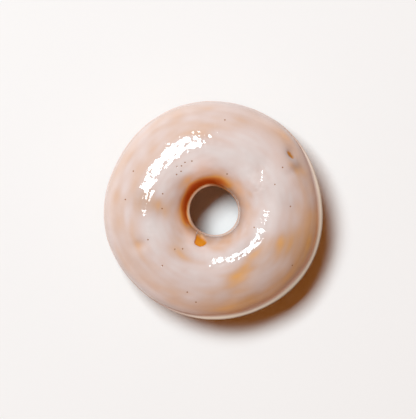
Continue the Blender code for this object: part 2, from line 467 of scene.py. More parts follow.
def face_curve(shape, rim_reach=OUTER_BEAD_REACH, hole_reach=INNER_BEAD_REACH):
    """The outer face of the glaze without its beads, as (radius, level): a superellipse from the
    rim to the crest, a quarter of an ellipse down to the shoulder, and the wall of the hole. The
    beads' reach is left free outside it."""
    rim = shape.ring_radius - rim_reach
    wall = shape.hole_radius + hole_reach
    outer = quarter(
        (shape.crest_radius, OUTER_BEAD_LEVEL),
        rim - shape.crest_radius,
        shape.ring_height - OUTER_BEAD_LEVEL,
        OUTER_POWERS,
    )
    inner = quarter(
        (shape.crest_radius, SHOULDER_LEVEL),
        wall - shape.crest_radius,
        shape.ring_height - SHOULDER_LEVEL,
        INNER_POWERS,
    )[::-1]
    foot = np.array([[wall, INNER_BEAD_LEVEL]])
    return evenly_spaced(np.concatenate([outer, inner[1:], foot]), CURVE_SAMPLES)


def bead(rule, face_radius, share):
    """The superelliptic arc of a bead that has grown by share, from its underside up and over."""
    reach = rule.least + share * (rule.greatest - rule.least)
    half_width = min(reach * BEAD_WIDTH, rule.half_width)
    turn = np.radians(np.linspace(*BEAD_ARC, CURVE_SAMPLES // 4))
    cosine, sine = np.cos(turn), np.sin(turn)
    across = half_width * np.sign(cosine) * np.abs(cosine) ** (2 / BEAD_POWER)
    up = rule.half_height * np.sign(sine) * np.abs(sine) ** (2 / BEAD_POWER)
    out = reach - half_width + across
    return np.stack([face_radius + rule.side * out, rule.level + share * rule.lift + up], axis=1)


def fillet(before, after):
    """A cubic that leaves the end of one curve and meets the start of the next along both of
    their directions, with the gap's width as the weight of each direction."""
    start, end = before[-1], after[0]
    gap = np.hypot(*(end - start))
    leave = (before[-1] - before[-2]) / np.hypot(*(before[-1] - before[-2])) * gap
    meet = (after[1] - after[0]) / np.hypot(*(after[1] - after[0])) * gap
    t = np.linspace(0.0, 1.0, CURVE_SAMPLES // 8)[1:-1, None]
    return (
        (2 * t**3 - 3 * t**2 + 1) * start
        + (t**3 - 2 * t**2 + t) * leave
        + (3 * t**2 - 2 * t**3) * end
        + (t**3 - t**2) * meet
    )


def skirt(start, end, rule, share):
    """The outside of the glaze below a bead that lies high, between the glaze's lower edge and the
    bead's underside: a straight line that bulges out of the face by share, evenly but for its
    ends."""
    t = np.linspace(0.0, 1.0, SKIRT_POINTS + 2)[1:-1, None]
    bulge = share * SKIRT_BULGE * (1 - np.abs(2 * t - 1) ** 3)
    return start + (end - start) * t + bulge * np.array([rule.side, 0.0])


def glaze_section(shape, share):
    """The glaze's closed section as points and outward normals, with beads that have grown by
    share: rim bead, face, hole bead, its skirt, the back, which is the even face moved inwards,
    and the rim bead's skirt."""
    reaches = [rule.least + share * (rule.greatest - rule.least) for rule in (RIM_BEAD, HOLE_BEAD)]
    face = face_curve(shape, *reaches)
    rim_bead = bead(RIM_BEAD, face[0, 0], share)
    hole_bead = bead(HOLE_BEAD, face[-1, 0], share)[::-1]
    on_rim_side = face[:, 0] > shape.crest_radius
    above_rim = rim_bead[-1, 1] + RIM_BEAD.rise
    above_hole = hole_bead[0, 1] + HOLE_BEAD.rise
    lowest = np.where(on_rim_side, above_rim, above_hole)
    bare = face[face[:, 1] > lowest]
    rim_end = np.concatenate([rim_bead, fillet(rim_bead, bare), bare[:1]])
    hole_end = np.concatenate([bare[-1:], fillet(bare, hole_bead), hole_bead])
    from_middle = np.abs(bare[:, 0] - DETAIL_RADIUS)
    density = 2 - smooth_step(from_middle, DETAIL_HALF_WIDTH, 1.4 * DETAIL_HALF_WIDTH)
    front = np.concatenate(
        [
            evenly_spaced(rim_end, RIM_POINTS)[:-1],
            evenly_spaced(bare, FACE_POINTS, density),
            evenly_spaced(hole_end, HOLE_POINTS)[1:],
        ]
    )
    picked = np.linspace(0, CURVE_SAMPLES - 1, BACK_POINTS).astype(int)
    even_face = face_curve(shape)
    back = (even_face - shape.glaze_thickness * outwards(even_face))[picked][::-1]
    hole_skirt = skirt(front[-1], back[0], HOLE_BEAD, share)
    rim_skirt = skirt(back[-1], front[0], RIM_BEAD, share)
    rest = np.concatenate([hole_skirt, back, rim_skirt])
    normals = np.concatenate([outwards(front), np.zeros_like(rest)])
    return np.concatenate([front, rest]), normals


def facing(azimuth, middle, start, full):
    """How far a place is on a side of the ring: a smooth step of the cosine of the turn away from
    the azimuth in the side's middle."""
    return smooth_step(np.cos(azimuth - math.radians(middle)), start, full)


def glaze_sections(shape, azimuth):
    """The glaze's section at each azimuth: the section with the least beads blended with the one
    with the greatest, by the rim's share outside the crest and by the hole's share inside it.
    Gives the radius, the level, the normals' two parts, how much each point is of a lip and how
    much it is of an edge, where a lip may be too small to show."""
    least, least_normals = glaze_section(shape, 0)
    greatest, greatest_normals = glaze_section(shape, 1)
    outward = smooth_step(least[:, 0] - shape.crest_radius, -BEAD_BLEND, BEAD_BLEND)
    rim_share = facing(azimuth, RIM_BEAD.middle, RIM_BEAD.start, RIM_BEAD.full)
    rim_share = rim_share * (LIP_SHARE + waves(azimuth, LIP_WAVES))
    hole_share = facing(azimuth, HOLE_BEAD.middle, HOLE_BEAD.start, HOLE_BEAD.full)
    share = hole_share + outward * (rim_share - hole_share)
    radius, level = (least[:, k] + share * (greatest - least)[:, k] for k in (0, 1))
    across, up = (
        least_normals[:, k] + share * (greatest_normals - least_normals)[:, k] for k in (0, 1)
    )
    place = np.arange(len(least))
    from_rim = place / RIM_POINTS
    from_hole = (FRONT_POINTS - 1 - place) / HOLE_POINTS
    rim_lip = 1 - smooth_step(from_rim, *RIM_LIP_ENDS)
    hole_lip = 1 - smooth_step(from_hole, *HOLE_LIP_ENDS)
    edge = 2 - smooth_step(from_rim, *EDGE_ENDS) - smooth_step(from_hole, *EDGE_ENDS)
    in_front = place < FRONT_POINTS
    lip = (rim_lip * rim_share + hole_lip) * in_front
    return radius, level, across, up, lip, edge * in_front


def dough_section(shape):
    """The dough's closed section as points and outward normals: rim side, hidden top, hole side,
    and the flat that it rests on."""
    face = face_curve(shape)
    top = face - (shape.glaze_thickness + CLEARANCE) * outwards(face)
    rim, rim_level = top[0]
    wall, wall_level = top[-1]
    rim_side = quarter(
        (REST_OUTER_RADIUS, rim_level), rim - REST_OUTER_RADIUS, -rim_level, UNDERSIDE_POWERS
    )[::-1]
    hole_side = quarter(
        (REST_INNER_RADIUS, wall_level), wall - REST_INNER_RADIUS, -wall_level, UNDERSIDE_POWERS
    )
    rest = np.array([[REST_INNER_RADIUS, 0.0], [REST_OUTER_RADIUS, 0.0]])
    section = np.concatenate(
        [
            evenly_spaced(rim_side, DOUGH_SIDE_POINTS)[:-1],
            evenly_spaced(top, DOUGH_TOP_POINTS),
            evenly_spaced(hole_side, DOUGH_SIDE_POINTS)[1:],
            evenly_spaced(rest, DOUGH_REST_POINTS)[1:-1],
        ]
    )
    return section, outwards(section)


def smooth_step(value, low, high):
    """0 up to low, 1 from high on, and 3t^2 - 2t^3 between them. Where low is above high, it is
    1 up to high and 0 from low on."""
    t = np.clip((value - low) / (high - low), 0.0, 1.0)
    return t * t * (3 - 2 * t)


def waves(azimuth, table):
    """The sum of cosines round the ring, each with its count, its height and where it peaks."""
    return sum(size * np.cos(count * (azimuth - math.radians(top))) for count, size, top in table)


def bells(azimuth, radius, table):
    """The sum of bell curves over the ring seen from above, each with its azimuth, in millimetres
    its radius, its half length round the ring and its half width, and its height."""
    total = np.zeros(np.broadcast(azimuth, radius).shape)
    for middle, at, half_length, half_width, height in table:
        turn = np.remainder(azimuth - math.radians(middle) + math.pi, math.tau) - math.pi
        along = at * turn / half_length
        spread = along**2 + ((radius / MM - at) / half_width) ** 2
        total += height * np.exp(-spread)
    return total


def swell(points, wavelength, seed, count=40):
    """A smooth random field of about unit height: the sum of plane waves in seeded directions,
    their wavelengths within a third of the one asked for."""
    rng = np.random.default_rng(seed)
    directions = rng.normal(size=(count, 3))
    directions /= np.linalg.norm(directions, axis=1)[:, None]
    numbers = rng.uniform(0.75, 1.33, count) * math.tau / wavelength
    phases = rng.uniform(0.0, math.tau, count)
    total = np.zeros(points.shape[:-1])
    for direction, number, phase in zip(directions, numbers, phases):
        total += np.cos(points @ (direction * number) + phase)
    return total * math.sqrt(2 / count)


def swells(points, table, field=swell):
    """The sum of random fields, each by its height, its wavelength in millimetres and its seed."""
    return sum(height * field(points, wavelength * MM, seed) for height, wavelength, seed in table)


def creases(points, wavelength, seed):
    """A field of sharp valleys between soft cushions: the absolute value of a swell, less about
    its mean."""
    return np.abs(swell(points, wavelength, seed)) - 0.8


def warp(radius, level, azimuth):
    """Where the uneven ring has a point of the even one: the outline's waves fade towards the
    hole, the crest's fade towards the waist, and the hollows pull towards the core."""
    outward = smooth_step(radius, HOLE_RADIUS, RING_RADIUS)
    upper = smooth_step(level, OUTER_BEAD_LEVEL, RING_HEIGHT)
    waist = smooth_step(level, OUTER_BEAD_LEVEL / 3, OUTER_BEAD_LEVEL) * (1 - upper)
    sunk = MM * bells(azimuth, radius, HOLLOWS)
    sunk = sunk * smooth_step(level, OUTER_BEAD_LEVEL, SHOULDER_LEVEL)
    from_core = np.hypot(radius - CORE_RADIUS, level - CORE_LEVEL)
    uneven_radius = (
        radius
        + outward * waves(azimuth, OUTLINE_WAVES)
        + (1 - outward) * waves(azimuth, HOLE_WAVES)
        - sunk * (radius - CORE_RADIUS) / from_core
    )
    uneven_level = (
        level
        + upper * waves(azimuth, CREST_WAVES)
        + waist * waves(azimuth, EDGE_WAVES)
        - sunk * (level - CORE_LEVEL) / from_core
    )
    return uneven_radius, uneven_level


def on_axes(radius, level, azimuth):
    """Points in x, y, z from radius, level and azimuth."""
    return np.stack(
        np.broadcast_arrays(radius * np.cos(azimuth), radius * np.sin(azimuth), level), axis=-1
    )


def fitted(points, node):
    """The points scaled a little about their middle, so that they fill the node's box exactly."""
    low, high = (np.array(corner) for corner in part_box(node))
    mine_low = points.min(axis=(0, 1))
    mine_high = points.max(axis=(0, 1))
    return low + (points - mine_low) * (high - low) / (mine_high - mine_low)


def ring_mesh(name, points, fields):
    """The mesh of a grid that closes on itself both ways, round the ring and along the section.
    Each named field becomes a float attribute on its points."""
    around, along = points.shape[:2]
    index = np.arange(around * along).reshape(around, along)
    onward = np.roll(index, -1, axis=0)
    quads = np.stack([index, onward, np.roll(onward, -1, axis=1), np.roll(index, -1, axis=1)], -1)
    mesh = bpy.data.meshes.new(name)
    mesh.from_pydata(points.reshape(-1, 3).tolist(), [], quads.reshape(-1, 4).tolist())
    for field, values in fields.items():
        attribute = mesh.attributes.new(field, "FLOAT", "POINT")
        attribute.data.foreach_set("value", values.astype(np.float32).ravel())
    mesh.shade_smooth()
    mesh.update()
    return mesh


def placed(name, mesh, material, node):
    """The object of a finished mesh, riding on the ring's only body and standing for its node."""
    piece = bpy.data.objects.new(name, mesh)
    bpy.context.scene.collection.objects.link(piece)
    mesh.materials.append(material)
    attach(piece, "root")
    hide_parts(node)
    return piece


def along_stretch(points, start, end):
    """Where a place lies against a stretch whose ends are in millimetres, seen from above: how far
    along it its nearest point is, from 0 to 1, how far off that is, and how far left of the
    stretch's line the place is."""
    start, run = np.array(start) * MM, np.subtract(end, start) * MM
    length_ = np.hypot(*run)
    place = points[..., :2]
    share = np.clip((place - start) @ run / length_**2, 0.0, 1.0)
    off = np.hypot(*np.moveaxis(place - start - share[..., None] * run, -1, 0))
    left = ((place - start) @ np.array([-run[1], run[0]])) / length_
    return share, off, left


def notch_distance(points):
    """How far a place is outside the bare notch, and below 0 inside it: the lesser of an oval's
    distance and that of a neck whose half width grows along it, rounded where they meet."""
    half_x, half_y = NOTCH_HALF_SIZE
    x, y = points[..., 0] - NOTCH_MIDDLE[0], points[..., 1] - NOTCH_MIDDLE[1]
    to_oval = (np.hypot(x / half_x, y / half_y) - 1) * min(half_x, half_y)
    share, off, _ = along_stretch(points, *NOTCH_NECK)
    least, greatest = NOTCH_NECK_HALF_WIDTHS
    to_neck = off - least - share * (greatest - least)
    merge = np.maximum(NOTCH_MERGE - np.abs(to_oval - to_neck), 0.0)
    return np.minimum(to_oval, to_neck) - merge**2 / (4 * NOTCH_MERGE)


def slit_distance(points):
    """How far a place is outside the slit, and below 0 inside it: a turned oval's distance."""
    (middle_x, middle_y), half_length, half_width, azimuth = SLIT
    turn = math.radians(azimuth)
    x, y = points[..., 0] - middle_x, points[..., 1] - middle_y
    along = x * math.cos(turn) + y * math.sin(turn)
    across = y * math.cos(turn) - x * math.sin(turn)
    return (np.hypot(along / half_length, across / half_width) - 1) * half_width


def bareness(points, radius):
    """1 where the glaze left the dough bare and 0 elsewhere, with a crisp edge."""
    notch = 1 - smooth_step(notch_distance(points), *NOTCH_EDGE)
    notch = notch * smooth_step(radius, *NOTCH_NEAREST)
    slit = 1 - smooth_step(slit_distance(points), *SLIT_EDGE)
    return np.where(radius < CREST_RADIUS, notch, slit)


def wrinkle_relief(points):
    """The fine wrinkles: a bell across each line, which runs out at its ends."""
    total = np.zeros(points.shape[:-1])
    for start, end, height in WRINKLES:
        _, off, _ = along_stretch(points, start, end)
        total += height * MM * np.exp(-((off / WRINKLE_HALF_WIDTH) ** 2))
    return total


def curl_relief(points):
    """The curled wrinkle: a smooth step across the nearest of its stretches, which falls off
    slowly behind the step and beyond both of its ends. Beyond a corner two stretches are equally
    near, and rounding alone picks one of them."""
    nearest = np.full(points.shape[:-1], np.inf)
    across = np.zeros_like(nearest)
    for start, end in zip(CURL[:-1], CURL[1:]):
        _, off, left = along_stretch(points, start, end)
        across = np.where(off < nearest, left, across)
        nearest = np.minimum(off, nearest)
    beyond = np.sqrt(np.maximum(nearest**2 - across**2, 0.0))
    step = smooth_step(across, -CURL_HALF_WIDTH, CURL_HALF_WIDTH)
    fall = np.exp(-((np.maximum(across, 0.0) / CURL_FALL) ** 2) - (beyond / CURL_END) ** 2)
    return CURL_HEIGHT * step * fall


def glaze_relief(points, azimuth, radius, front):
    """How far the glaze stands proud of its even face: long swells, wrinkles that stand out in a
    few zones, faint dips, and the sunken notch and slit."""
    notch = 1 - smooth_step(notch_distance(points), *NOTCH_SLOPE)
    slit = 1 - smooth_step(slit_distance(points), *SLIT_SLOPE)
    sunk = np.where(radius < CREST_RADIUS, NOTCH_DEPTH * notch, SLIT_DEPTH * slit)
    placed_relief = wrinkle_relief(points) + curl_relief(points) - sunk
    relief = placed_relief * (points[..., 2] > SHOULDER_LEVEL)
    relief = relief - MM * bells(azimuth, radius, FAINT_DIPS)
    lively = bells(azimuth, radius, LIVELY_ZONES)
    for height, livelier, wavelength, seed in GLAZE_SWELLS:
        relief = relief + MM * (height + livelier * lively) * swell(points, wavelength * MM, seed)
    height, livelier, wavelength, seed = GLAZE_FLOW
    flow = swell(flow_points(azimuth, radius), wavelength * MM, seed)
    return (relief + MM * (height + livelier * lively) * flow) * front


def flow_points(azimuth, radius):
    """Where a swell is taken to be drawn out three times as long round the ring as across it."""
    radius = np.broadcast_to(radius, np.broadcast(azimuth, radius).shape)
    return on_axes(CREST_RADIUS / 3, radius, azimuth)


def glaze_depth_and_shade(points, azimuth, radius, lip):
    """How thick the glaze looks, 1 where it is milky and 0 where it is golden: thick on the crest
    and in the lips, thinner down the outer flank, with placed patches, streaks and clouds. It also
    carries painted shade: the browner glaze at the lower right is painted shade, the browner glaze
    on the shaded side of the hole's wall is partly thin glaze and partly painted shade, and some
    patches paint shade into hollows."""
    depth = WALL_DEPTH
    for change, low, high in DEPTH_STEPS:
        depth = depth + change * smooth_step(radius, low * MM, high * MM)
    # Browner glaze on one side: painted shade on the lower right, partly painted shade on the
    # hole's wall
    for change, low, high, side in SIDED_DEPTH_AND_SHADE_STEPS:
        depth = depth + change * facing(azimuth, *side) * smooth_step(radius, low * MM, high * MM)
    # Patches of the glaze, those in the hollows being painted shade
    depth = depth + bells(azimuth, radius, GLAZE_PATCHES_AND_SHADE)
    depth = depth + swells(flow_points(azimuth, radius), DEPTH_STREAKS)
    depth = depth + swells(points, DEPTH_CLOUDS)
    # Partly painted shade: the hole's lip is drawn browner on the shaded wall
    hole_lip_depth = HOLE_LIP_DEPTH + SHADED_WALL_LIP_CHANGE * facing(azimuth, *SHADED_WALL_SIDE)
    lip_depth = np.where(radius < CREST_RADIUS, hole_lip_depth, RIM_LIP_DEPTH)
    lip_depth = lip_depth + bells(azimuth, radius, LIP_DEPTH_PATCHES)
    return depth + (lip_depth - depth) * lip


def glaze_looks(points, azimuth, radius, lip, edge):
    """The glaze's fields for its material: how thick it looks, with painted shade in that, how much
    painted light and shade brighten or darken its colour, where its lips and the bare places are,
    how strongly it is rippled and how much it gleams."""
    # Painted light and shade: brighter towards one azimuth, darker opposite it
    light = 1 + PAINTED_LIGHT_TILT * np.cos(azimuth - math.radians(PAINTED_LIGHT_TILT_AZIMUTH)) * smooth_step(
        radius, *PAINTED_LIGHT_TILT_RADII
    )
    # Painted light and shade, scaled into the glaze's colour
    light = light + bells(azimuth, radius, PAINTED_LIGHT_PATCHES) * (1 - lip)
    # Painted light and shade on the lips
    light = light + bells(azimuth, radius, LIP_PAINTED_LIGHT_PATCHES) * lip
    dull = facing(azimuth, *DULL_WALL_SIDE)
    dull_wall = smooth_step(radius, *DULL_WALL_RADII) * dull
    return {
        "glaze_depth_and_shade": glaze_depth_and_shade(points, azimuth, radius, lip),
        "glaze_painted_light": light,
        "glaze_lip": lip * np.where(radius < CREST_RADIUS, HOLE_LIP_COLOUR_SHARE * dull, 1.0),
        "glaze_bare": bareness(points, radius),
        "glaze_ripple": RIPPLE_SHARE + bells(azimuth, radius, LIVELY_ZONES),
        "glaze_gloss": GLOSS * (1 - dull_wall) * (1 - edge),
    }


def crust_relief(points):
    """How far the crust's skin stands proud of the even dough: swells and creases between the flat
    and the glaze, and on the whole a little below it."""
    level = points[..., 2]
    skin = smooth_step(level, *SKIN_STARTS) * smooth_step(level, *SKIN_ENDS)
    relief = swells(points, SKIN_SWELLS) + swells(points, SKIN_CREASES, creases)
    return skin * (MM * relief - SKIN_DEPTH)


def crust_browning(points, radius):
    """How brown the crust is, from 0 to about 1: brown up the side to an uneven border, paler above
    it, with clouds, and browner towards the hole."""
    height = points[..., 2] / OUTER_BEAD_LEVEL + swells(points, BROWNING_WAVES)
    browning = SIDE_BROWNING * smooth_step(height, *BROWNING_ENDS)
    browning = browning + swells(points, BROWNING_CLOUDS)
    return browning + HOLE_BROWNING * smooth_step(radius, REST_INNER_RADIUS, HOLE_RADIUS)


def set_inputs(tree, node, inputs):
    """Links each named or numbered input of a node to an output, or sets it to a value."""
    for key, given in inputs.items():
        if isinstance(given, bpy.types.NodeSocket):
            tree.links.new(given, node.inputs[key])
        else:
            node.inputs[key].default_value = given


def new_node(tree, kind, inputs=None, **settings):
    """A node of a kind in a node tree, with its settings and its inputs."""
    node = tree.nodes.new(kind)
    for name, value in settings.items():
        setattr(node, name, value)
    set_inputs(tree, node, inputs or {})
    return node


def new_group(name, inputs, output, output_type):
    """A node group and its input node. The inputs are given by their defaults, which are four
    numbers for a colour and one for a number, and there is one output."""
    group = bpy.data.node_groups.new(name, "ShaderNodeTree")
    for key, default in inputs.items():
        kind = "NodeSocketColor" if isinstance(default, tuple) else "NodeSocketFloat"
        socket = group.interface.new_socket(key, in_out="INPUT", socket_type=kind)
        socket.default_value = default
    group.interface.new_socket(output, in_out="OUTPUT", socket_type=output_type)
    return group, new_node(group, "NodeGroupInput")


def own_noise(tree, **inputs):
    """Noise on the piece's own coordinates."""
    place = new_node(tree, "ShaderNodeTexCoord")
    inputs["Vector"] = place.outputs["Object"]
    return new_node(tree, "ShaderNodeTexNoise", inputs).outputs["Fac"]


def uneven_tint_group():
    """A node group that lightens and darkens a colour in soft clouds of a given size."""
    inputs = {"Color": (0.8, 0.8, 0.8, 1.0), "Scale": 100.0, "Strength": 0.1}
    group, given = new_group("Uneven Tint", inputs, "Color", "NodeSocketColor")
    noise = own_noise(group, Scale=given.outputs["Scale"], Detail=4.0)
    offset = new_node(group, "ShaderNodeMath", {0: noise, 1: 0.5}, operation="SUBTRACT")
    brightness = new_node(
        group,
        "ShaderNodeMath",
        {0: offset.outputs[0], 1: given.outputs["Strength"], 2: 1.0},
        operation="MULTIPLY_ADD",
    )
    scaled = new_node(
        group,
        "ShaderNodeVectorMath",
        {0: given.outputs["Color"], "Scale": brightness.outputs[0]},
        operation="SCALE",
    )
    new_node(group, "NodeGroupOutput", {"Color": scaled.outputs[0]})
    return group


def fine_relief_group():
    """A node group that gives the height of fine ripples of a given size."""
    inputs = {"Scale": 900.0, "Roughness": 0.5}
    group, given = new_group("Fine Relief", inputs, "Height", "NodeSocketFloat")
    noise = own_noise(
        group, Scale=given.outputs["Scale"], Roughness=given.outputs["Roughness"], Detail=2.0
    )
    new_node(group, "NodeGroupOutput", {"Height": noise})
    return group


def pinhole_group(shift):
    """A node group whose mask is 1 in the middle of each pinhole and 0 outside them: the least of
    the distances to their middles, seen from above, set against their radius. The pinholes are
    shifted as the glaze was when it was fitted."""
    group, given = new_group("Pinholes", {"Radius": 0.3 * MM}, "Mask", "NodeSocketFloat")
    place = new_node(group, "ShaderNodeTexCoord")
    flat = new_node(
        group,
        "ShaderNodeVectorMath",
        {0: place.outputs["Object"], 1: (1.0, 1.0, 0.0)},
        operation="MULTIPLY",
    )
    nearest = RING_RADIUS
    for azimuth, radius in PINHOLES:
        turn = math.radians(azimuth)
        x = radius * MM * math.cos(turn) + shift[0]
        y = radius * MM * math.sin(turn) + shift[1]
        ends = {0: flat.outputs[0], 1: (x, y, 0.0)}
        distance = new_node(group, "ShaderNodeVectorMath", ends, operation="DISTANCE")
        both = {0: nearest, 1: distance.outputs["Value"]}
        nearest = new_node(group, "ShaderNodeMath", both, operation="MINIMUM").outputs[0]
    fade = new_node(
        group,
        "ShaderNodeMapRange",
        {
            "Value": nearest,
            "From Min": PINHOLE_CORE,
            "From Max": given.outputs["Radius"],
            "To Min": 1.0,
            "To Max": 0.0,
        },
        interpolation_type="SMOOTHSTEP",
    )
    new_node(group, "NodeGroupOutput", {"Mask": fade.outputs["Result"]})
    return group


def shared(name, make, *given):
    """The node group of that name, made the first time that it is asked for."""
    return bpy.data.node_groups.get(name) or make(*given)


def placed_group(tree, group, **inputs):
    """The output of a node group that is placed in a tree with its own inputs."""
    return new_node(tree, "ShaderNodeGroup", inputs, node_tree=group).outputs[0]


def new_material(name):
    material = bpy.data.materials.new(name)
    material.use_nodes = True
    shader = material.node_tree.nodes["Principled BSDF"]
    shader.inputs["Metallic"].default_value = 0.0
    return material, shader


def attribute(tree, name):
    """The value of one of the mesh's attributes."""
    return new_node(tree, "ShaderNodeAttribute", attribute_name=name).outputs["Fac"]


def colour_ramp(tree, stops, share):
    """The colour at a share between 0 and 1 on a ramp whose stops are (share, colour)."""
    node = new_node(tree, "ShaderNodeValToRGB", {"Fac": share})
    elements = node.color_ramp.elements
    for position, _ in stops[2:]:
        elements.new(position)
    for element, (position, shade) in zip(elements, sorted(stops)):
        element.position = position
        element.color = (*shade, 1.0)
    return node.outputs["Color"]


def covered(tree, under, mask, over):
    """A colour covered by another where the mask is 1."""
    inputs = {"Factor": mask, "A": under, "B": (*over, 1.0)}
    return new_node(tree, "ShaderNodeMix", inputs, data_type="RGBA").outputs["Result"]


def bump(tree, height, distance):
    """The normals of a surface that rises by distance where the height is 1."""
    inputs = {"Height": height, "Strength": 1.0, "Distance": distance}
    return new_node(tree, "ShaderNodeBump", inputs).outputs["Normal"]


def glaze_material(finish, shift):
    """Glossy sugar glaze: its depth attribute, which carries painted shade too, picks the colour
    between golden dough and milky sugar, the painted light attribute makes it brighter or darker as
    painted light and shade, the bare attribute and the pinholes show the dough, the pinholes with
    painted shade, and fine ripples break up the mirrored light."""
    material, shader = new_material("milky_glaze")
    tree = material.node_tree
    depth_range = {"From Min": DEPTH_RANGE[0], "From Max": DEPTH_RANGE[1]}
    # The depth carries painted shade as well as the glaze's thickness
    depth_range["Value"] = attribute(tree, "glaze_depth_and_shade")
    share = new_node(tree, "ShaderNodeMapRange", depth_range)
    look = colour_ramp(tree, GLAZE_COLOURS, share.outputs["Result"])
    look = covered(tree, look, attribute(tree, "glaze_lip"), finish.lip_colour)
    look = covered(tree, look, attribute(tree, "glaze_bare"), finish.bare_colour)
    # Painted light and shade: the colour is scaled by the painted light attribute
    lighting = {0: look, "Scale": attribute(tree, "glaze_painted_light")}
    lit = new_node(tree, "ShaderNodeVectorMath", lighting, operation="SCALE").outputs["Vector"]
    tint = shared("Uneven Tint", uneven_tint_group)
    mottled = placed_group(tree, tint, Color=lit, Scale=260.0, Strength=0.05)
    pinholes = shared("Pinholes", pinhole_group, shift)
    holes = placed_group(tree, pinholes, Radius=finish.pinhole_radius)
    relief = shared("Fine Relief", fine_relief_group)
    ripples = placed_group(tree, relief, Scale=850.0, Roughness=0.5)
    lively = {0: ripples, 1: attribute(tree, "glaze_ripple")}
    lively = new_node(tree, "ShaderNodeMath", lively, operation="MULTIPLY")
    dimpled = {0: holes, 1: PINHOLE_DIMPLE, 2: lively.outputs[0]}
    dimpled = new_node(tree, "ShaderNodeMath", dimpled, operation="MULTIPLY_ADD")
    looks = {
        # The pinholes show the dough with painted shade in their pits
        "Base Color": covered(tree, mottled, holes, finish.pinhole_dough_and_shade_colour),
        "Normal": bump(tree, dimpled.outputs[0], finish.ripple_height),
        "Specular IOR Level": attribute(tree, "glaze_gloss"),
        "Roughness": finish.roughness,
        "IOR": 1.48,
    }
    set_inputs(tree, shader, looks)
    return material


def crust_material(finish):
    """Fried crust: a pale band round the waist that the frying fat hardly reached, golden brown
    below it, and a finely wrinkled, nearly matt skin."""
    material, shader = new_material("golden_crust")
    tree = material.node_tree
    stops = (
        (0.0, finish.pale_colour[:]),
        (1.0, finish.dark_colour[:]),
        (0.3, finish.golden_colour[:]),
        (0.6, finish.brown_colour[:]),
    )
    browned = colour_ramp(tree, stops, attribute(tree, "browning"))
    tint = shared("Uneven Tint", uneven_tint_group)
    relief = shared("Fine Relief", fine_relief_group)
    wrinkles = placed_group(tree, relief, Scale=1100.0, Roughness=0.65)
    looks = {
        "Base Color": placed_group(tree, tint, Color=browned, Scale=420.0, Strength=0.35),
        "Normal": bump(tree, wrinkles, finish.wrinkle_height),
        "Roughness": finish.roughness,
    }
    set_inputs(tree, shader, looks)
    return material


def length(name, description, default):
    return bpy.props.FloatProperty(
        name=name, description=description, default=default, min=0.0, precision=5, unit="LENGTH"
    )


def factor(name, description, default):
    return bpy.props.FloatProperty(
        name=name, description=description, default=default, min=0.0, max=1.0, subtype="FACTOR"
    )


def colour(name, description, default):
    return bpy.props.FloatVectorProperty(
        name=name, description=description, default=default, min=0.0, max=1.0, subtype="COLOR"
    )


class DoughnutShape(bpy.types.PropertyGroup):
    """The ring's driving sizes."""

    ring_radius: length("Ring radius", "Out to the bead of glaze on the rim", RING_RADIUS)
    hole_radius: length("Hole radius", "In to the bead of glaze in the hole", HOLE_RADIUS)
    ring_height: length("Ring height", "Up to the mean crest of the glaze", RING_HEIGHT)
    crest_radius: length("Crest radius", "Radius of the highest circle", CREST_RADIUS)
    glaze_thickness: length("Glaze thickness", "Thickness of the glaze", GLAZE_THICKNESS)


class GlazeFinish(bpy.types.PropertyGroup):
    """The colours and gloss of the sugar glaze."""

    lip_colour: colour("Lips", "The thick lips of the glaze", (0.69, 0.57, 0.45))
    bare_colour: colour("Bare dough", "Where the glaze left the dough bare", (0.70, 0.25, 0.01))
    # Partly painted shade: the pinholes are drawn darker than the bare dough, for the shade in
    # their pits
    pinhole_dough_and_shade_colour: colour("Pinholes", "The dough under the burst bubbles", (0.30, 0.13, 0.04))
    pinhole_radius: length("Pinhole radius", "Radius of the burst bubbles", 0.40 * MM)
    ripple_height: length("Ripple height", "Height of the finest ripples", 0.030 * MM)
    roughness: factor("Roughness", "Roughness of the glaze", 0.07)


class CrustFinish(bpy.types.PropertyGroup):
    """The colours of the fried crust."""

    pale_colour: colour("Pale band", "The waist that hardly fried", (0.74, 0.44, 0.16))
    golden_colour: colour("Golden", "The border of the pale band", (0.60, 0.33, 0.12))
    brown_colour: colour("Golden brown", "The fried side", (0.47, 0.20, 0.055))
    dark_colour: colour("Dark brown", "The deepest fried spots", (0.27, 0.09, 0.022))
    wrinkle_height: length("Wrinkle height", "Height of the finest wrinkles", 0.12 * MM)
    roughness: factor("Roughness", "Roughness of the crust", 0.55)


class DoughnutStage(bpy.types.PropertyGroup):
    """The floor, the light and the camera."""

    floor_colour: colour("Floor", "Colour of the pale floor", (0.85, 0.85, 0.85))
    fill_colour: colour("Fill light", "Colour of the light from all round", (1.0, 0.28, 0.02))
    fill_strength: bpy.props.FloatProperty(
        name="Fill strength", description="Strength of that light", default=0.20, min=0.0
    )
    key_colour: colour("Key light", "Colour of the soft key light", (0.86, 0.965, 1.0))
    key_power: bpy.props.FloatProperty(
        name="Key power", description="Power of the soft key light", default=107.0, unit="POWER"
    )
    camera_height: length("Camera height", "Height of the camera over the floor", 0.7)


class DOUGHNUT_OT_make_dough(bpy.types.Operator):
    """Make the fried dough ring"""

    bl_idname = "doughnut.make_dough"
    bl_label = "Make Dough"

    def execute(self, context):
        section, normals = dough_section(context.scene.doughnut_shape)
        azimuth = np.linspace(0.0, math.tau, DOUGH_STEPS, endpoint=False)[:, None]
        radius, level = section.T
        points = on_axes(radius, level, azimuth)
        relief = crust_relief(points)
        radius, level = warp(
            radius + relief * normals[:, 0], level + relief * normals[:, 1], azimuth
        )
        points = fitted(on_axes(radius, level, azimuth), "dough_ring")
        material = crust_material(context.scene.crust_finish)
        mesh = ring_mesh("fried_dough", points, {"browning": crust_browning(points, radius)})
        placed("fried_dough", mesh, material, "dough_ring")
        return {"FINISHED"}


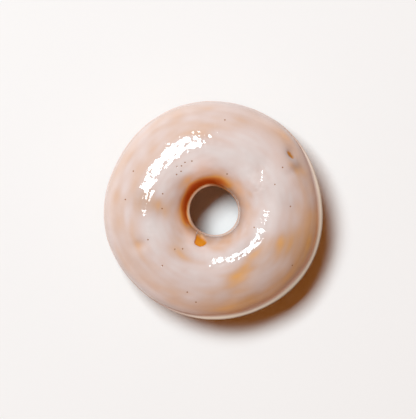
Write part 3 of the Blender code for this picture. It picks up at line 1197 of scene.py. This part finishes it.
class DOUGHNUT_OT_make_glaze(bpy.types.Operator):
    """Make the sugar glaze on the upper half of the ring"""

    bl_idname = "doughnut.make_glaze"
    bl_label = "Make Glaze"

    def execute(self, context):
        azimuth = np.linspace(0.0, math.tau, AZIMUTH_STEPS, endpoint=False)[:, None]
        shape = context.scene.doughnut_shape
        radius, level, across, up, lip, edge = glaze_sections(shape, azimuth)
        points = on_axes(radius, level, azimuth)
        place = np.arange(radius.shape[1])
        front = smooth_step(np.minimum(place, FRONT_POINTS - 1 - place), 0, RELIEF_POINTS)
        relief = glaze_relief(points, azimuth, radius, front)
        fields = glaze_looks(points, azimuth, radius, lip, edge)
        radius, level = warp(radius + relief * across, level + relief * up, azimuth)
        warped = on_axes(radius, level, azimuth)
        points = fitted(warped, "glaze")
        shift = (points - warped).mean(axis=(0, 1))
        material = glaze_material(context.scene.glaze_finish, shift)
        mesh = ring_mesh("poured_glaze", points, fields)
        placed("poured_glaze", mesh, material, "glaze")
        return {"FINISHED"}


# What the camera sees from straight above, in pixels: how high the picture is, how wide the outline
# is, and how far its middle lies to the right of the picture's middle and below it
PICTURE_HEIGHT_PX = 419
RING_WIDTH_PX = 218.2
RING_OFFSET_PX = (4.9, 0.5)
SENSOR_WIDTH = 36.0

# The key light: its angle from straight above, its azimuth, how far off it is, and its size
KEY_ZENITH = 26.5
KEY_AZIMUTH = 133.0
KEY_DISTANCE = 3.0
KEY_SIZE = (1.32, 0.93)

FLOOR_HALF_SIZE = 4.0


class DOUGHNUT_OT_make_stage(bpy.types.Operator):
    """Make the pale floor, the soft light and the camera"""

    bl_idname = "doughnut.make_stage"
    bl_label = "Make Stage"

    def execute(self, context):
        stage = context.scene.doughnut_stage
        self.make_floor(context, stage)
        self.make_lights(context, stage)
        self.make_camera(context, stage)
        return {"FINISHED"}

    def make_floor(self, context, stage):
        reach = FLOOR_HALF_SIZE
        corners = [(-reach, -reach, 0), (reach, -reach, 0), (reach, reach, 0), (-reach, reach, 0)]
        mesh = bpy.data.meshes.new("floor")
        mesh.from_pydata(corners, [], [(0, 1, 2, 3)])
        floor = bpy.data.objects.new("floor", mesh)
        context.scene.collection.objects.link(floor)
        material, shader = new_material("pale_floor")
        tint = shared("Uneven Tint", uneven_tint_group)
        pale = (*stage.floor_colour, 1.0)
        mottled = placed_group(material.node_tree, tint, Color=pale, Scale=8.0, Strength=0.02)
        looks = {"Base Color": mottled, "Roughness": 0.9, "Specular IOR Level": 0.2}
        set_inputs(material.node_tree, shader, looks)
        mesh.materials.append(material)

    def make_lights(self, context, stage):
        key = bpy.data.lights.new("key_light", "AREA")
        key.shape = "RECTANGLE"
        key.size, key.size_y = KEY_SIZE
        key.energy = stage.key_power
        key.color = stage.key_colour
        light = bpy.data.objects.new("key_light", key)
        context.scene.collection.objects.link(light)
        zenith, azimuth = math.radians(KEY_ZENITH), math.radians(KEY_AZIMUTH)
        light.location = (
            KEY_DISTANCE * math.sin(zenith) * math.cos(azimuth),
            KEY_DISTANCE * math.sin(zenith) * math.sin(azimuth),
            KEY_DISTANCE * math.cos(zenith),
        )
        light.rotation_euler = (zenith, 0.0, azimuth + math.pi / 2)
        world = bpy.data.worlds.new("soft_fill")
        world.use_nodes = True
        background = world.node_tree.nodes["Background"]
        background.inputs["Color"].default_value = (*stage.fill_colour, 1.0)
        background.inputs["Strength"].default_value = stage.fill_strength
        context.scene.world = world
        context.scene.view_settings.view_transform = "Standard"

    def make_camera(self, context, stage):
        data = bpy.data.cameras.new("camera")
        camera = bpy.data.objects.new("camera", data)
        context.scene.collection.objects.link(camera)
        context.scene.camera = camera
        low, high = CAD_BOX
        metres_per_px = (high.x - low.x) / RING_WIDTH_PX
        to_rim = stage.camera_height - OUTER_BEAD_LEVEL
        data.sensor_width = SENSOR_WIDTH
        data.lens = SENSOR_WIDTH * to_rim / (PICTURE_HEIGHT_PX * metres_per_px)
        camera.location = (
            -RING_OFFSET_PX[0] * metres_per_px,
            RING_OFFSET_PX[1] * metres_per_px,
            stage.camera_height,
        )


class DOUGHNUT_PT_panel(bpy.types.Panel):
    """Sizes, finishes and the buttons that make each piece"""

    bl_idname = "DOUGHNUT_PT_panel"
    bl_label = "Glazed Ring Doughnut"
    bl_space_type = "VIEW_3D"
    bl_region_type = "UI"
    bl_category = "Doughnut"

    def draw(self, context):
        scene = context.scene
        for settings in (
            scene.doughnut_shape,
            scene.glaze_finish,
            scene.crust_finish,
            scene.doughnut_stage,
        ):
            box = self.layout.box()
            for name in settings.__annotations__:
                box.prop(settings, name)
        for operator in OPERATORS:
            self.layout.operator(operator.bl_idname)


GROUPS = {
    "doughnut_shape": DoughnutShape,
    "glaze_finish": GlazeFinish,
    "crust_finish": CrustFinish,
    "doughnut_stage": DoughnutStage,
}
OPERATORS = (DOUGHNUT_OT_make_dough, DOUGHNUT_OT_make_glaze, DOUGHNUT_OT_make_stage)


def register():
    for cls in (*GROUPS.values(), *OPERATORS, DOUGHNUT_PT_panel):
        bpy.utils.register_class(cls)
    for name, group in GROUPS.items():
        setattr(bpy.types.Scene, name, bpy.props.PointerProperty(type=group))


def unregister():
    for name in GROUPS:
        delattr(bpy.types.Scene, name)
    for cls in (DOUGHNUT_PT_panel, *reversed(OPERATORS), *reversed(GROUPS.values())):
        bpy.utils.unregister_class(cls)


def main():
    register()
    bpy.ops.doughnut.make_dough()
    bpy.ops.doughnut.make_glaze()
    bpy.ops.doughnut.make_stage()


if __name__ == "__main__":
    main()
